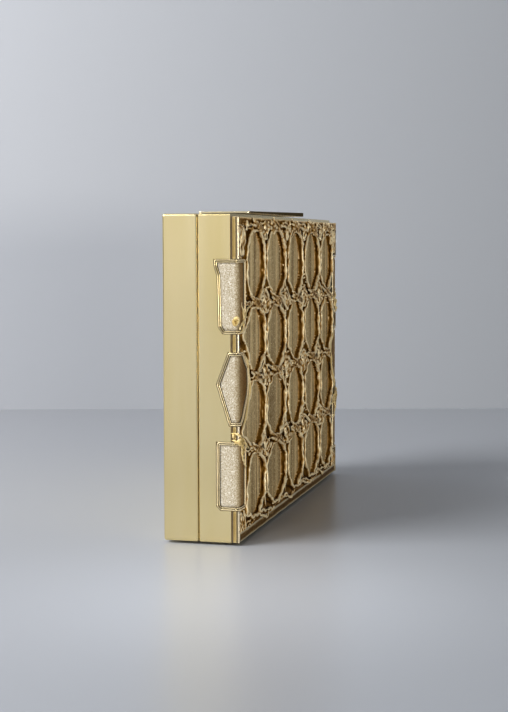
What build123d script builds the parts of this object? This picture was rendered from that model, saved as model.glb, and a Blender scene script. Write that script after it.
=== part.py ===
from build123d import *
import os
from math import radians, tan

# ---------------------------------------------------------------------------
# Hard box clutch: two shallow metal halves hinged along the long base edge,
# with an openwork cast panel over glitter fabric on the front half and a
# thumb bar clasp on top.
# Frame: +Z up, -Y towards the decorated front, origin at the bottom centre.
# All sizes in millimetres.
# ---------------------------------------------------------------------------

# Overall body
WIDTH = 175.0
HEIGHT = 120.0
DEPTH = 29.0
FRONT_HALF_DEPTH = 15.6
PARTING_GAP = 0.3
WALL = 1.0
EDGE_ROUND = 1.0
RIM_BEVEL = 0.4
FOOT_HEIGHT = 0.8
FOOT_RADIUS = 2.5
FOOT_ROUND = 0.3

# Thumb bar and clasp
THUMB_OVERHANG = 4.0
BAR_NEAR_X = -86.5
BAR_FAR_X = 0.5
BAR_LIFT_GAP = 0.15
BAR_NEAR_THICKNESS = 0.5
BAR_FAR_THICKNESS = 1.6
BAR_CORNER = 1.2
BAR_BACK_FROM_PARTING = 0.0
BAR_EDGE_ROUND = 0.2
CLASP_PIN_FROM_PARTING = 4.9
CLASP_PIN_DROP = 2.2
CLASP_PIN_RADIUS = 0.5
CLASP_KNUCKLE_RADIUS = 1.0
RUNNING_CLEARANCE = 0.05
CLASP_CENTRE_X = -35.0
CLASP_HALF_WIDTH = 14.0
CLASP_ARM = 1.2

# Layers of the decorated front, measured back from the front plane
LATTICE_DEPTH = 2.3
FABRIC_FRONT = 2.4
FABRIC_THICKNESS = 0.3
BOARD_BACK = 3.2
WEB_BACK = 4.2
STRIP_DEPTH = 2.7
STRIP_WIDTH = 1.0
STRIP_GROOVE = 0.25

# Lining
LINING_THICKNESS = 0.6
LINING_TOP_DROP = 4.5
LINING_BASE_RISE = 2.2

# Base hinge
HINGE_HALF_LENGTH = 66.0
HINGE_KNUCKLES = 7
HINGE_KNUCKLE_GAP = 0.15
HINGE_AXIS_RISE = 0.3
HINGE_BARREL_RADIUS = 0.95
HINGE_PIN_RADIUS = 0.45
HINGE_LEAF_THICKNESS = 0.5
HINGE_LEAF_REACH = 8.0
HINGE_RELIEF = 1.15
HINGE_RIVET_X = (-54.0, -27.0, 0.0, 27.0, 54.0)
HINGE_RIVET_REACH = 5.0
RIVET_SHANK_RADIUS = 0.6
RIVET_HEAD_RADIUS = 1.1
RIVET_HEAD_HEIGHT = 0.4
RIVET_FIT = 0.03

# Openwork panel: upright ribs across the width and rows up the height,
# both measured from the lower left corner of the front
RIB_POSITIONS = (10.8, 39.0, 73.8, 105.6, 139.8, 166.4)
ROW_CENTRES = (19.2, 46.4, 74.0, 102.2)
JUNCTION_HEIGHTS = (32.4, 60.0, 87.8)
CELL_HALF_HEIGHT = 13.0
CELL_ROUND = 5.0
RIB_HALF_WIDTH = 1.5
PANEL_BOTTOM = 4.0
PANEL_TOP = 116.0
BORDER_BOTTOM = 0.3
BORDER_TOP = 118.8
NUGGET_RADIUS = 1.4
JUNCTION_HOLE_HALF_WIDTH = 2.0
JUNCTION_HOLE_HEIGHT = 4.0
JUNCTION_HOLE_RISE = 3.4

# Corner windows: outlines on the end wall as (depth back from the front
# plane, height) and on the front as (distance in from the end, height)
WINDOW_TOP_END = ((0, 103.6), (9.5, 103.6), (9.4, 101.0), (8.3, 97.5), (7.9, 79.0), (6.2, 76.4), (0, 76.4))
WINDOW_TOP_FRONT = ((0, 103.6), (8.8, 103.6), (8.8, 79.0), (6.0, 76.4), (0, 76.4))
WINDOW_MIDDLE_END = ((0, 70.0), (4.2, 70.0), (8.7, 58.2), (4.4, 44.4), (3.8, 43.0), (0, 43.0))
WINDOW_MIDDLE_FRONT = ((0, 70.0), (4.5, 70.0), (8.6, 63.0), (8.6, 55.0), (4.4, 44.4), (3.8, 43.0), (0, 43.0))
WINDOW_BOTTOM_END = ((0, 37.4), (8.8, 37.4), (8.8, 13.6), (7.2, 12.0), (0, 12.0))
WINDOW_BOTTOM_FRONT = ((0, 37.4), (8.8, 37.4), (8.2, 12.0), (0, 12.0))
WINDOWS = {
    "top": (WINDOW_TOP_END, WINDOW_TOP_FRONT),
    "middle": (WINDOW_MIDDLE_END, WINDOW_MIDDLE_FRONT),
    "bottom": (WINDOW_BOTTOM_END, WINDOW_BOTTOM_FRONT),
}
BEZEL_WIDTH = 1.3
BEZEL_PROUD = 0.5
WINDOW_CLEARANCE = 0.05
WINDOW_PAD_THICKNESS = 0.9
PAST_CORNER = 3.0

# Derived planes
Z_BASE = FOOT_HEIGHT
Z_TOP = FOOT_HEIGHT + HEIGHT
X_END = WIDTH / 2
Y_FRONT = (THUMB_OVERHANG - DEPTH) / 2
Y_BACK = Y_FRONT + DEPTH
Y_PART = Y_FRONT + FRONT_HALF_DEPTH
Y_FRONT_RIM = Y_PART - PARTING_GAP / 2
Y_BACK_RIM = Y_PART + PARTING_GAP / 2
Z_HINGE = Z_BASE + HINGE_AXIS_RISE
Z_CLASP_PIN = Z_TOP - CLASP_PIN_DROP
Y_CLASP_PIN = Y_PART + CLASP_PIN_FROM_PARTING
LINING_LOW = Z_BASE + LINING_BASE_RISE
LINING_HIGH = Z_TOP - LINING_TOP_DROP

END_PLANE = Plane(origin=(-X_END, Y_FRONT, Z_BASE), x_dir=(0, 1, 0), z_dir=(1, 0, 0))
FRONT_PLANE = Plane(origin=(-X_END, Y_FRONT, Z_BASE), x_dir=(1, 0, 0), z_dir=(0, -1, 0))


def block(x_range, y_range, z_range):
    """Box between two limits along each axis."""
    size = [high - low for low, high in (x_range, y_range, z_range)]
    centre = [(high + low) / 2 for low, high in (x_range, y_range, z_range)]
    return Pos(*centre) * Box(*size)


def rod(x_range, y, z, radius):
    """Cylinder along X."""
    length = x_range[1] - x_range[0]
    return Pos(sum(x_range) / 2, y, z) * Rot(0, 90, 0) * Cylinder(radius, length)


def post(x, y, z_range, radius):
    """Cylinder along Z."""
    return Pos(x, y, sum(z_range) / 2) * Cylinder(radius, z_range[1] - z_range[0])


def mirrored(solid):
    """The same piece for the opposite end."""
    return mirror(solid, about=Plane.YZ)


# ---------------------------------------------------------------------------
# Shells
# ---------------------------------------------------------------------------

def hinge_relief():
    """Room for the hinge barrel in both base walls."""
    reach = HINGE_HALF_LENGTH + HINGE_KNUCKLE_GAP * 2
    y_range = (Y_PART - HINGE_RELIEF, Y_PART + HINGE_RELIEF)
    return block((-reach, reach), y_range, (0, Z_BASE + WALL))


def rivet_holes(side):
    """Holes for the hinge rivets; side is -1 for the front half, +1 for the back."""
    y = Y_PART + side * HINGE_RIVET_REACH
    top = Z_BASE + WALL + HINGE_LEAF_THICKNESS
    holes = [post(x, y, (0, top), RIVET_SHANK_RADIUS + RIVET_FIT) for x in HINGE_RIVET_X]
    return Part() + holes


def clasp_cutout():
    """Opening in the back shell's top wall for the thumb bar's arms."""
    half = CLASP_HALF_WIDTH + 1.0
    x_range = (CLASP_CENTRE_X - half, CLASP_CENTRE_X + half)
    return block(x_range, (Y_CLASP_PIN - 2.6, Y_CLASP_PIN + 2.6), (Z_TOP - 2 * WALL, Z_TOP + 1))


def hook_slot():
    """Slot in the front shell's top wall that the hook drops into, open at the rim."""
    x_range = (CLASP_CENTRE_X - 6.0, CLASP_CENTRE_X + 6.0)
    return block(x_range, (Y_PART - 7.6, Y_PART + 1), (Z_TOP - 2 * WALL, Z_TOP + 1))


def back_shell():
    body = block((-X_END, X_END), (Y_BACK_RIM, Y_BACK), (Z_BASE, Z_TOP))
    back_edges = body.faces().sort_by(Axis.Y)[-1].edges()
    body = fillet(back_edges + body.edges().filter_by(Axis.Y), EDGE_ROUND)
    body = chamfer(body.faces().sort_by(Axis.Y)[0].edges(), RIM_BEVEL)
    inner_x = (WALL - X_END, X_END - WALL)
    body -= block(inner_x, (Y_BACK_RIM - 1, Y_BACK - WALL), (Z_BASE + WALL, Z_TOP - WALL))
    return body - hinge_relief() - rivet_holes(1) - clasp_cutout()


def front_shell():
    y_front = Y_FRONT + BOARD_BACK
    body = block((-X_END, X_END), (y_front, Y_FRONT_RIM), (Z_BASE, Z_TOP))
    body = fillet(body.edges().filter_by(Axis.Y), EDGE_ROUND)
    body = chamfer(body.faces().sort_by(Axis.Y)[-1].edges(), RIM_BEVEL)
    inner_x = (WALL - X_END, X_END - WALL)
    body -= block(inner_x, (Y_FRONT + WEB_BACK, Y_FRONT_RIM + 1), (Z_BASE + WALL, Z_TOP - WALL))
    body = body - hinge_relief() - rivet_holes(-1) - hook_slot()
    for end_outline, front_outline in WINDOWS.values():
        opening = window_prism(end_outline, 0.0, WALL)
        body = body - opening - mirrored(opening)
    return body


def closing_lip():
    """Thin brass lip round the top and both ends of the back rim."""
    seat = WALL
    free = WALL + 0.15
    thickness = 0.5
    seated = lip_ring(seat, thickness + 0.15, (Y_BACK_RIM, Y_BACK_RIM + 1.5))
    proud = lip_ring(free, thickness, (Y_BACK_RIM - 1.3, Y_BACK_RIM))
    below = block((-X_END, X_END), (Y_PART - 3, Y_PART + 3), (0, LINING_LOW + 1))
    slot = (CLASP_CENTRE_X - 6.5, CLASP_CENTRE_X + 6.5)
    notch = block(slot, (Y_PART - 3, Y_PART + 3), (Z_TOP - 3, Z_TOP))
    return seated + proud - below - notch


def lip_ring(inset, thickness, y_range):
    """Rectangular ring set in from the outer faces."""
    x_out = X_END - inset
    z_out = (Z_BASE + inset, Z_TOP - inset)
    ring = block((-x_out, x_out), y_range, z_out)
    z_in = (z_out[0] + thickness, z_out[1] - thickness)
    hole_y = (y_range[0] - 1, y_range[1] + 1)
    return ring - block((thickness - x_out, x_out - thickness), hole_y, z_in)


def lining_tray(y_open, y_floor):
    """Fabric-covered card tray that lines one half."""
    x_out = X_END - WALL
    direction = 1 if y_floor > y_open else -1
    outer_y = sorted((y_open, y_floor))
    inner_y = sorted((y_open - direction, y_floor - direction * LINING_THICKNESS))
    tray = block((-x_out, x_out), outer_y, (LINING_LOW, LINING_HIGH))
    inner_x = (LINING_THICKNESS - x_out, x_out - LINING_THICKNESS)
    inner_z = (LINING_LOW + LINING_THICKNESS, LINING_HIGH - LINING_THICKNESS)
    return tray - block(inner_x, inner_y, inner_z)


def valance(y_range):
    """Covered strip that hides the clasp space above a lining tray."""
    x_out = X_END - WALL - 1.0
    return block((-x_out, x_out), y_range, (LINING_HIGH, Z_TOP - WALL - 0.8))


def feet(y):
    """Two low metal feet under one half."""
    pads = []
    for x in (-0.4 * WIDTH, 0.4 * WIDTH):
        pad = post(x, y, (0, FOOT_HEIGHT), FOOT_RADIUS)
        pads.append(fillet(pad.edges().sort_by(Axis.Z)[0], FOOT_ROUND))
    return Part() + pads


# ---------------------------------------------------------------------------
# Base hinge
# ---------------------------------------------------------------------------

def knuckle_ranges(first):
    """X ranges of every second knuckle, starting with the given one."""
    pitch = 2 * HINGE_HALF_LENGTH / HINGE_KNUCKLES
    ranges = []
    for index in range(first, HINGE_KNUCKLES, 2):
        start = -HINGE_HALF_LENGTH + index * pitch
        ranges.append((start + HINGE_KNUCKLE_GAP / 2, start + pitch - HINGE_KNUCKLE_GAP / 2))
    return ranges


def hinge_leaf(side, first_knuckle):
    """Leaf on the base wall's inner face with its own knuckles."""
    z_range = (Z_BASE + WALL, Z_BASE + WALL + HINGE_LEAF_THICKNESS)
    near = Y_PART + side * (HINGE_RELIEF + 0.1)
    far = Y_PART + side * HINGE_LEAF_REACH
    leaf = block((-HINGE_HALF_LENGTH, HINGE_HALF_LENGTH), sorted((near, far)), z_range)
    for x_range in knuckle_ranges(first_knuckle):
        leaf += rod(x_range, Y_PART, Z_HINGE, HINGE_BARREL_RADIUS)
        leaf += block(x_range, sorted((Y_PART, near)), z_range)
    bore = rod((-WIDTH, WIDTH), Y_PART, Z_HINGE, HINGE_PIN_RADIUS + RUNNING_CLEARANCE)
    return leaf - bore - rivet_holes(side)


def hinge_pin():
    reach = HINGE_HALF_LENGTH - HINGE_KNUCKLE_GAP
    return rod((-reach, reach), Y_PART, Z_HINGE, HINGE_PIN_RADIUS)


def hinge_rivets(side):
    """Rivets that hold one leaf to its base wall."""
    y = Y_PART + side * HINGE_RIVET_REACH
    head_low = Z_BASE + WALL + HINGE_LEAF_THICKNESS
    rivets = []
    for x in HINGE_RIVET_X:
        shank = post(x, y, (Z_BASE, head_low), RIVET_SHANK_RADIUS)
        head = post(x, y, (head_low, head_low + RIVET_HEAD_HEIGHT), RIVET_HEAD_RADIUS)
        rivets.append(shank + head)
    return Part() + rivets


# ---------------------------------------------------------------------------
# Clasp
# ---------------------------------------------------------------------------

def bar_profile():
    """Side view of the thumb bar: thin at the near end, thicker at the thumb end."""
    low = Z_TOP + BAR_LIFT_GAP
    points = [
        (BAR_NEAR_X, low),
        (BAR_FAR_X, low),
        (BAR_FAR_X, low + BAR_FAR_THICKNESS),
        (BAR_NEAR_X, low + BAR_NEAR_THICKNESS),
    ]
    return make_face(Polyline(*points, close=True))


def clasp_bar():
    """Thumb bar with two arms that turn on the clasp pin."""
    y_front = Y_FRONT - THUMB_OVERHANG
    y_back = Y_PART + BAR_BACK_FROM_PARTING
    profile_plane = Plane(origin=(0, y_back, 0), x_dir=(1, 0, 0), z_dir=(0, -1, 0))
    bar = extrude(profile_plane * bar_profile(), y_back - y_front)
    bar = fillet(bar.edges().filter_by(Axis.Z), BAR_CORNER)
    bar = fillet(bar.faces().sort_by(Axis.Z)[-1].edges(), BAR_EDGE_ROUND)
    low = Z_TOP + BAR_LIFT_GAP
    tab_x = (CLASP_CENTRE_X - CLASP_HALF_WIDTH, CLASP_CENTRE_X + CLASP_HALF_WIDTH)
    bar += block(tab_x, (y_back - 1.5, Y_CLASP_PIN + 1), (low, low + BAR_NEAR_THICKNESS))
    for x_range in ((tab_x[0], tab_x[0] + CLASP_ARM), (tab_x[1] - CLASP_ARM, tab_x[1])):
        arm_y = (Y_CLASP_PIN - 0.8, Y_CLASP_PIN + 0.8)
        bar += block(x_range, arm_y, (Z_CLASP_PIN, low + BAR_NEAR_THICKNESS))
        bar += rod(x_range, Y_CLASP_PIN, Z_CLASP_PIN, CLASP_KNUCKLE_RADIUS)
    bore = rod((-WIDTH, 0), Y_CLASP_PIN, Z_CLASP_PIN, CLASP_PIN_RADIUS + RUNNING_CLEARANCE)
    return bar - bore


def clasp_mount():
    """Bent bracket under the back shell's top wall that holds the clasp pin."""
    inner = CLASP_HALF_WIDTH + 0.3
    outer = inner + 1.2
    y_range = (Y_CLASP_PIN - 1.8, Y_CLASP_PIN + 1.8)
    under_wall = Z_TOP - WALL
    bracket = block((CLASP_CENTRE_X - outer, CLASP_CENTRE_X + outer), y_range, (Z_TOP - 4.2, Z_TOP - 3.6))
    for side in (-1, 1):
        lug_x = sorted((CLASP_CENTRE_X + side * inner, CLASP_CENTRE_X + side * outer))
        flange_x = sorted((CLASP_CENTRE_X + side * outer, CLASP_CENTRE_X + side * (outer + 5)))
        bracket += block(lug_x, y_range, (Z_TOP - 4.2, under_wall))
        bracket += block(flange_x, y_range, (under_wall - 0.6, under_wall))
    reach = outer + 1
    bore_x = (CLASP_CENTRE_X - reach, CLASP_CENTRE_X + reach)
    return bracket - rod(bore_x, Y_CLASP_PIN, Z_CLASP_PIN, CLASP_PIN_RADIUS + RIVET_FIT)


def clasp_pin():
    reach = CLASP_HALF_WIDTH + 1.5
    return rod((CLASP_CENTRE_X - reach, CLASP_CENTRE_X + reach), Y_CLASP_PIN, Z_CLASP_PIN, CLASP_PIN_RADIUS)


def clasp_spring():
    """Torsion spring wound round the clasp pin."""
    wire = 0.2
    coil_radius = 0.85
    pitch = 0.6
    turns = 9
    path = Helix(pitch=pitch, height=pitch * turns, radius=coil_radius)
    section = Plane(origin=path @ 0, z_dir=path % 0) * Circle(wire)
    coil = sweep(section, path=path, is_frenet=True)
    place = Pos(CLASP_CENTRE_X - pitch * turns / 2, Y_CLASP_PIN, Z_CLASP_PIN) * Rot(0, 90, 0)
    return place * coil


def clasp_hook():
    """Tongue brazed under the thumb bar, with a nose at its tip."""
    x_range = (CLASP_CENTRE_X - 4.5, CLASP_CENTRE_X + 4.5)
    tongue = block(x_range, (Y_PART - 4.6, Y_PART - 3.6), (Z_TOP - 2.6, Z_TOP + BAR_LIFT_GAP))
    nose = block(x_range, (Y_PART - 3.6, Y_PART - 2.5), (Z_TOP - 2.6, Z_TOP - 1.9))
    return tongue + nose


def clasp_keeper():
    """Bridge under the front shell's top wall that the hook's nose closes over."""
    y_range = (Y_PART - 2.7, Y_PART - 1.7)
    bridge = block((CLASP_CENTRE_X - 8, CLASP_CENTRE_X + 8), y_range, (Z_TOP - 4.2, Z_TOP - 2.9))
    for side in (-1, 1):
        post_x = sorted((CLASP_CENTRE_X + side * 7, CLASP_CENTRE_X + side * 8))
        bridge += block(post_x, y_range, (Z_TOP - 4.2, Z_TOP - WALL))
    return bridge


# ---------------------------------------------------------------------------
# Decorated front
# ---------------------------------------------------------------------------

def outline_face(points, inset=0.0):
    """Flat window outline, carried past the corner so that an inset leaves the corner open."""
    carried = [(distance if distance else -PAST_CORNER, z) for distance, z in points]
    face = make_face(Polyline(*carried, close=True))
    if inset:
        face = offset(face, amount=-inset, kind=Kind.INTERSECTION)
    return face


def window_prism(end_outline, outside, inside, inset=0.0):
    """Prism of a window on the near end wall, from outside to inside its face."""
    face = END_PLANE.offset(-outside) * outline_face(end_outline, inset)
    return extrude(face, outside + inside)


def front_prism(front_outline, outside, inside, inset=0.0):
    """Prism of a window on the front plane at the near end."""
    face = FRONT_PLANE.offset(outside) * outline_face(front_outline, inset)
    return extrude(face, -(outside + inside))


def corner_region(proud):
    """Everything inside the body, or up to a distance proud of its end and front."""
    x_range = (-X_END - proud, X_END)
    y_range = (Y_FRONT - proud, Y_BACK)
    return block(x_range, y_range, (Z_BASE, Z_TOP))


def window_pad(end_outline, front_outline):
    """Fabric-covered pad that fills one corner window, inside its bezel, round the corner."""
    inset = BEZEL_WIDTH + WINDOW_CLEARANCE
    end_leg = window_prism(end_outline, 0.0, WINDOW_PAD_THICKNESS, inset)
    front_leg = front_prism(front_outline, 0.0, LATTICE_DEPTH, inset)
    return (end_leg + front_leg) & corner_region(0.0)


def window_bezel(end_outline, front_outline):
    """Raised rim just inside one corner window's edge, bent round the corner."""
    end_rim = window_prism(end_outline, BEZEL_PROUD, WINDOW_PAD_THICKNESS, WINDOW_CLEARANCE)
    front_rim = front_prism(front_outline, BEZEL_PROUD, LATTICE_DEPTH, WINDOW_CLEARANCE)
    end_hole = window_prism(end_outline, BEZEL_PROUD + 1, LATTICE_DEPTH + 1, BEZEL_WIDTH)
    front_hole = front_prism(front_outline, BEZEL_PROUD + 1, LATTICE_DEPTH + 1, BEZEL_WIDTH)
    rim = (end_rim - end_hole) + (front_rim - front_hole)
    return rim & corner_region(BEZEL_PROUD)


def cell_face(left, right, centre_z):
    """Pointed, rounded opening between two ribs."""
    left += RIB_HALF_WIDTH
    right -= RIB_HALF_WIDTH
    middle = (left + right) / 2
    shoulder = 0.5 * CELL_HALF_HEIGHT
    points = [
        (middle, centre_z + CELL_HALF_HEIGHT),
        (right, centre_z + shoulder),
        (right, centre_z - shoulder),
        (middle, centre_z - CELL_HALF_HEIGHT),
        (left, centre_z - shoulder),
        (left, centre_z + shoulder),
    ]
    face = make_face(Polyline(*points, close=True))
    return fillet(face.vertices(), CELL_ROUND)


def junction_hole(x, z):
    """Small triangular gap above a junction."""
    low = z + JUNCTION_HOLE_RISE
    points = [
        (x - JUNCTION_HOLE_HALF_WIDTH, low),
        (x + JUNCTION_HOLE_HALF_WIDTH, low),
        (x, low + JUNCTION_HOLE_HEIGHT),
    ]
    return make_face(Polyline(*points, close=True))


def front_lattice():
    """Openwork cast panel: rows of pointed cells between upright ribs."""
    outline = make_face(Polyline(
        (STRIP_WIDTH, PANEL_BOTTOM),
        (WIDTH - STRIP_WIDTH, PANEL_BOTTOM),
        (WIDTH - STRIP_WIDTH, PANEL_TOP),
        (STRIP_WIDTH, PANEL_TOP),
        close=True,
    ))
    for left, right in zip(RIB_POSITIONS, RIB_POSITIONS[1:]):
        for centre_z in ROW_CENTRES:
            outline -= cell_face(left, right, centre_z)
    for x in RIB_POSITIONS[1:-1]:
        for z in JUNCTION_HEIGHTS:
            outline -= junction_hole(x, z)
    panel = extrude(FRONT_PLANE * outline, -LATTICE_DEPTH)
    for end_outline, front_outline in WINDOWS.values():
        opening = front_prism(front_outline, 1.0, LATTICE_DEPTH + 1)
        panel = panel - opening - mirrored(opening)
    return panel


def lattice_nuggets():
    """Small cast nuggets on the junctions of the openwork."""
    nuggets = []
    behind = block((-X_END, X_END), (Y_FRONT, Y_BACK), (Z_BASE, Z_TOP))
    for rib in RIB_POSITIONS[1:-1]:
        for z in JUNCTION_HEIGHTS:
            ball = Pos(rib - X_END, Y_FRONT, Z_BASE + z) * Sphere(NUGGET_RADIUS)
            nuggets.append(ball - behind)
    return Part() + nuggets


def border(z_range):
    """Smooth strip across the front above or below the openwork."""
    x_range = (-X_END, X_END)
    low, high = z_range
    strip = block(x_range, (Y_FRONT, Y_FRONT + FABRIC_FRONT), (Z_BASE + low, Z_BASE + high))
    return strip


def corner_strips():
    """Upright edge strips at the near front corner, one between each pair of windows."""
    x_range = (-X_END, STRIP_WIDTH - X_END)
    y_range = (Y_FRONT, Y_FRONT + STRIP_DEPTH)
    strip = block(x_range, y_range, (Z_BASE + PANEL_BOTTOM, Z_BASE + PANEL_TOP))
    groove_y = (Y_FRONT + 0.9, Y_FRONT + 1.3)
    strip -= block((-X_END - 1, STRIP_GROOVE - X_END), groove_y, (Z_BASE, Z_TOP))
    for end_outline, front_outline in WINDOWS.values():
        strip -= window_prism(end_outline, 1.0, STRIP_WIDTH + 1)
    return strip


def front_layer(depth_range, side_inset):
    """Flat sheet behind the openwork."""
    x_out = X_END - side_inset
    y_range = (Y_FRONT + depth_range[0], Y_FRONT + depth_range[1])
    return block((-x_out, x_out), y_range, (Z_BASE + BORDER_BOTTOM, Z_BASE + BORDER_TOP))


# ---------------------------------------------------------------------------
# Assembly
# ---------------------------------------------------------------------------

def all_nodes():
    inset = STRIP_WIDTH + 0.2
    nodes = {
        "back_shell": back_shell(),
        "closing_lip": closing_lip(),
        "back_lining": lining_tray(Y_BACK_RIM + 1.6, Y_BACK - WALL),
        "back_lining_valance": valance((Y_BACK_RIM + 1.6, Y_BACK_RIM + 1.6 + LINING_THICKNESS)),
        "feet_back": feet(Y_BACK - 5),
        "hinge_leaf_back": hinge_leaf(1, 0),
        "hinge_rivets_back": hinge_rivets(1),
        "hinge_pin": hinge_pin(),
        "clasp_mount": clasp_mount(),
        "clasp_pin": clasp_pin(),
        "clasp_spring": clasp_spring(),
        "clasp_bar": clasp_bar(),
        "clasp_hook": clasp_hook(),
        "front_shell": front_shell(),
        "front_lining": lining_tray(Y_FRONT_RIM - 2.0, Y_FRONT + WEB_BACK),
        "feet_front": feet(Y_FRONT + 6),
        "hinge_leaf_front": hinge_leaf(-1, 1),
        "hinge_rivets_front": hinge_rivets(-1),
        "clasp_keeper": clasp_keeper(),
        "front_board": front_layer((FABRIC_FRONT + FABRIC_THICKNESS, BOARD_BACK), inset),
        "front_fabric": front_layer((FABRIC_FRONT, FABRIC_FRONT + FABRIC_THICKNESS), inset),
        "front_lattice": front_lattice(),
        "lattice_nuggets": lattice_nuggets(),
        "top_border": border((PANEL_TOP, BORDER_TOP)),
        "bottom_border": border((BORDER_BOTTOM, PANEL_BOTTOM)),
        "corner_strips_left": corner_strips(),
        "corner_strips_right": mirrored(corner_strips()),
    }
    for name, outlines in WINDOWS.items():
        pad = window_pad(*outlines)
        bezel = window_bezel(*outlines)
        nodes["window_pad_left_" + name] = pad
        nodes["window_pad_right_" + name] = mirrored(pad)
        nodes["window_bezel_left_" + name] = bezel
        nodes["window_bezel_right_" + name] = mirrored(bezel)
    return nodes


os.makedirs("parts", exist_ok=True)
for node_name, solid in all_nodes().items():
    solid.label = node_name
    export_step(solid, os.path.join("parts", node_name + ".step"))
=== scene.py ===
"""Looks of a hard box clutch: polished halves, a cast openwork front over glitter cloth,
raised rims round the corner windows, and a thumb bar on top.

Lengths in the geometry code are millimetres, measured from the lower left corner of the
front: s runs to the right along the front, u is the same but goes negative round the
corner onto the end wall, z runs up, and out stands away from the surface.
"""
from math import cos, pi, radians, sin

import bmesh
import bpy
import numpy as np
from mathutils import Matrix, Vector, noise


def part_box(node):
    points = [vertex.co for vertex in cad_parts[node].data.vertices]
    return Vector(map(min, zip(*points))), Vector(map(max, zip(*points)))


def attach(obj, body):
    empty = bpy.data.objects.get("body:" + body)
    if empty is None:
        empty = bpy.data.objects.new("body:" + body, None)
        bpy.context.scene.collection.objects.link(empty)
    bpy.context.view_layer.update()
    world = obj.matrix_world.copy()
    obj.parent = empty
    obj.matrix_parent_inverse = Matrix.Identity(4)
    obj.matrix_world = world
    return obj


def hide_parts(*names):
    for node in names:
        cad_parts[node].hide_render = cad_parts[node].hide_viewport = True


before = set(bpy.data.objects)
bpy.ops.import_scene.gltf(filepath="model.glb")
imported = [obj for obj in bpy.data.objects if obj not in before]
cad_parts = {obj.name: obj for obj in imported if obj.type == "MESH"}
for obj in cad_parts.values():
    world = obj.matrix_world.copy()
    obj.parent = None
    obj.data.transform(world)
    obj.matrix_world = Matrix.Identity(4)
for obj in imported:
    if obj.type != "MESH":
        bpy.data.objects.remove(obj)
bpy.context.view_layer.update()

MM = 0.001

# Places taken from the frame
BODY_LOW, BODY_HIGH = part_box("back_shell")
BORDER_LOW, BORDER_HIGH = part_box("bottom_border")
END_X = BORDER_LOW.x / MM
FRONT_Y = BORDER_LOW.y / MM
BASE_Z = BODY_LOW.z / MM
WIDTH = (BORDER_HIGH.x - BORDER_LOW.x) / MM
HEIGHT = (BODY_HIGH.z - BODY_LOW.z) / MM

# Openwork layout: mouths of the cells by column (left, right) and by row (low, high)
COLUMNS = ((12.0, 38.0), (41.4, 72.0), (77.0, 103.6), (108.6, 136.4), (140.6, 165.6))
ROWS = ((6.8, 30.0), (33.0, 57.6), (60.6, 85.2), (88.2, 113.8))
RIBS = (39.7, 74.4, 106.0, 138.4)
BANDS = (31.5, 59.1, 86.7)
# The middle band would cross the middle windows, so its fibres stop short of them
BAND_END = 1.6
MIDDLE_BAND_END = 13.4
# Stretches beside the outer cells that margin fibres fill, as low and high z
MARGINS = ((104.0, 115.5), (3.6, 11.6))
# Left sides of the first column, which curve round the corner windows
LEFT_SIDES = (
    ((9.4, 9.0), (10.6, 18.0), (14.6, 26.0)),
    ((3.2, 40.0), (10.4, 46.0), (14.6, 52.0)),
    ((14.4, 66.0), (8.5, 73.4), (5.0, 76.0), (9.0, 79.0)),
    ((14.6, 91.6), (12.0, 97.0), (12.0, 107.0)),
)
# How far the corners of a cell are rounded, and the points round its walls and its rim
CELL_ROUND = 3.6
WALL_POINTS = 96
RIM_POINTS = 120
# Half widths and half heights of the strands
RIM_STRAND = (0.52, 0.66)
RIB_STRAND = (0.65, 0.5)
MARGIN_STRAND = (0.55, 0.5)
WRAPPED_STRAND = (0.48, 0.45)
RING_STRAND = (0.55, 0.45)
# Foot of the openwork, where the cloth begins
FLOOR_OUT = -2.4
CORNER_RADIUS = 0.6
END_NAMES = {-1: "left", 1: "right"}


# ---- Mesh building ----

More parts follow.
